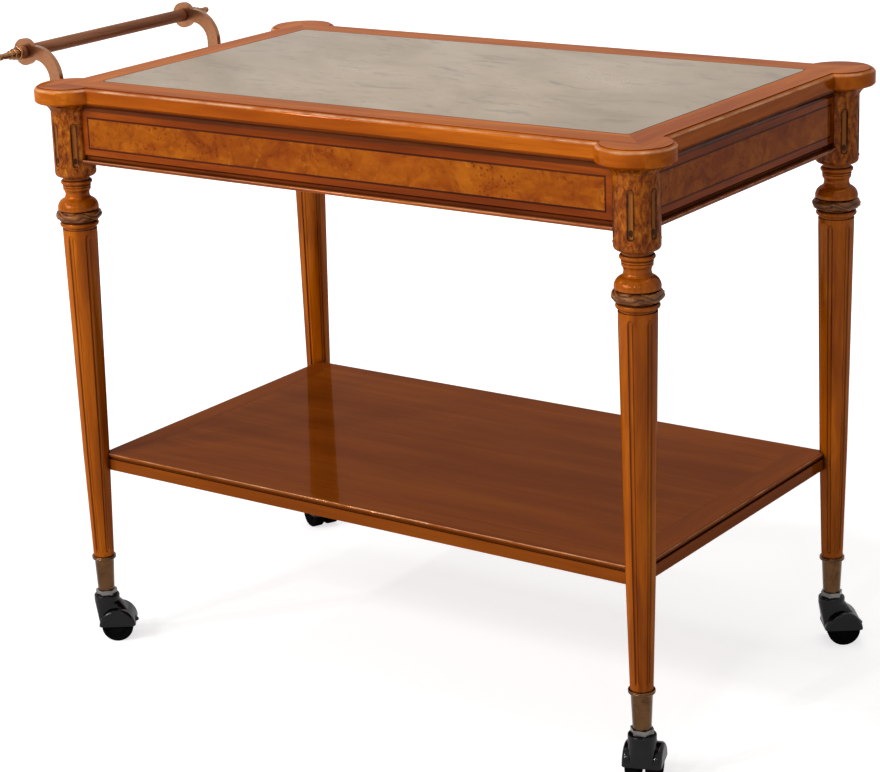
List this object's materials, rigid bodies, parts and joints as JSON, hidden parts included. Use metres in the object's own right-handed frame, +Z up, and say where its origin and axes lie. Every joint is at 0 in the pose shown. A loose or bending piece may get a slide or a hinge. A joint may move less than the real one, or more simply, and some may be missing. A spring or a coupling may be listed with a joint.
{
  "type": "tea trolley",
  "caption": "Stone-topped wooden trolley with turned, fluted legs, a lower shelf, hooded twin-wheel casters and a push bar on metal arms.",
  "frame": {"origin": "on the floor, under the middle of the trolley with its push bar", "axes": "+X along the trolley away from the push bar, +Y to the back, +Z up"},
  "size_m": [1.0194, 0.563, 0.7748],
  "materials": {
    "wood": "clear gloss varnish over orange-brown wood",
    "burl": "clear gloss varnish over burl veneer",
    "dark_wood": "dark brown gloss",
    "inner_wood": "bare sawn wood",
    "dark_line": "dark dyed inlay",
    "stone": "satin beige-grey marbled",
    "copper_brass": "satin, slightly coppery",
    "bright_brass": "polished",
    "antique_brass": "dull antique",
    "zinc": "zinc plated",
    "hood": "gloss black",
    "wheel": "matte black"
  },
  "bodies": {
    "frame": {"top_rail_front": "wood", "top_rail_right": "wood", "top_rail_back": "wood", "top_rail_left": "wood", "stone_panel": "stone", "stone_line": "dark_line", "backing_board": "inner_wood", "apron_front": "wood", "apron_right": "wood", "apron_back": "wood", "apron_left": "wood", "burl_panel_front": "burl", "burl_panel_right": "burl", "burl_panel_back": "burl", "burl_panel_left": "burl", "panel_lines": "dark_line", "cove_mouldings": "wood", "bead_mouldings": "wood", "corner_blocks": "inner_wood", "corner_bolts": "zinc", "top_dowels": "inner_wood", "leg_front_left": "wood", "leg_front_right": "wood", "leg_back_right": "wood", "leg_back_left": "wood", "carved_rings": "wood", "ferrule_front_left": "antique_brass", "ferrule_front_right": "antique_brass", "ferrule_back_right": "antique_brass", "ferrule_back_left": "antique_brass", "shelf_panel": "wood", "shelf_border_front": "wood", "shelf_border_right": "wood", "shelf_border_back": "wood", "shelf_border_left": "wood", "shelf_dowels": "inner_wood", "handle_arm_front": "copper_brass", "handle_arm_back": "copper_brass", "handle_rosettes": "copper_brass", "handle_bolts": "zinc", "handle_bar": "dark_wood", "finial_front": "bright_brass", "finial_back": "bright_brass", "caster_stems": "zinc"},
    "caster_front_left": {"caster_hood_front_left": "hood", "caster_axle_front_left": "zinc"},
    "wheel_front_left_a_body": {"wheel_front_left_a": "wheel"},
    "wheel_front_left_b_body": {"wheel_front_left_b": "wheel"},
    "caster_front_right": {"caster_hood_front_right": "hood", "caster_axle_front_right": "zinc"},
    "wheel_front_right_a_body": {"wheel_front_right_a": "wheel"},
    "wheel_front_right_b_body": {"wheel_front_right_b": "wheel"},
    "caster_back_right": {"caster_hood_back_right": "hood", "caster_axle_back_right": "zinc"},
    "wheel_back_right_a_body": {"wheel_back_right_a": "wheel"},
    "wheel_back_right_b_body": {"wheel_back_right_b": "wheel"},
    "caster_back_left": {"caster_hood_back_left": "hood", "caster_axle_back_left": "zinc"},
    "wheel_back_left_a_body": {"wheel_back_left_a": "wheel"},
    "wheel_back_left_b_body": {"wheel_back_left_b": "wheel"}
  },
  "joints": [
    {"name": "swivel_front_left", "type": "hinge", "parent": "frame", "child": "caster_front_left", "pos_m": [-0.34475, -0.237, 0.05], "axis": [0, 0, 1], "continuous": true},
    {"name": "roll_front_left_a", "type": "hinge", "parent": "caster_front_left", "child": "wheel_front_left_a_body", "pos_m": [-0.32724, -0.23864, 0.0205], "axis": [-0.6018, 0.7986, 0], "continuous": true},
    {"name": "roll_front_left_b", "type": "hinge", "parent": "caster_front_left", "child": "wheel_front_left_b_body", "pos_m": [-0.3415, -0.21971, 0.0205], "axis": [-0.6018, 0.7986, 0], "continuous": true},
    {"name": "swivel_front_right", "type": "hinge", "parent": "frame", "child": "caster_front_right", "pos_m": [0.46525, -0.237, 0.05], "axis": [0, 0, 1], "continuous": true},
    {"name": "roll_front_right_a", "type": "hinge", "parent": "caster_front_right", "child": "wheel_front_right_a_body", "pos_m": [0.47194, -0.22073, 0.0205], "axis": [-0.9397, -0.342, 0], "continuous": true},
    {"name": "roll_front_right_b", "type": "hinge", "parent": "caster_front_right", "child": "wheel_front_right_b_body", "pos_m": [0.44967, -0.22884, 0.0205], "axis": [-0.9397, -0.342, 0], "continuous": true},
    {"name": "swivel_back_right", "type": "hinge", "parent": "frame", "child": "caster_back_right", "pos_m": [0.46525, 0.237, 0.05], "axis": [0, 0, 1], "continuous": true},
    {"name": "roll_back_right_a", "type": "hinge", "parent": "caster_back_right", "child": "wheel_back_right_a_body", "pos_m": [0.48276, 0.23536, 0.0205], "axis": [-0.6018, 0.7986, 0], "continuous": true},
    {"name": "roll_back_right_b", "type": "hinge", "parent": "caster_back_right", "child": "wheel_back_right_b_body", "pos_m": [0.4685, 0.25429, 0.0205], "axis": [-0.6018, 0.7986, 0], "continuous": true},
    {"name": "swivel_back_left", "type": "hinge", "parent": "frame", "child": "caster_back_left", "pos_m": [-0.34475, 0.237, 0.05], "axis": [0, 0, 1], "continuous": true},
    {"name": "roll_back_left_a", "type": "hinge", "parent": "caster_back_left", "child": "wheel_back_left_a_body", "pos_m": [-0.35152, 0.25323, 0.0205], "axis": [-0.4226, -0.9063, 0], "continuous": true},
    {"name": "roll_back_left_b", "type": "hinge", "parent": "caster_back_left", "child": "wheel_back_left_b_body", "pos_m": [-0.36154, 0.23175, 0.0205], "axis": [-0.4226, -0.9063, 0], "continuous": true}
  ]
}
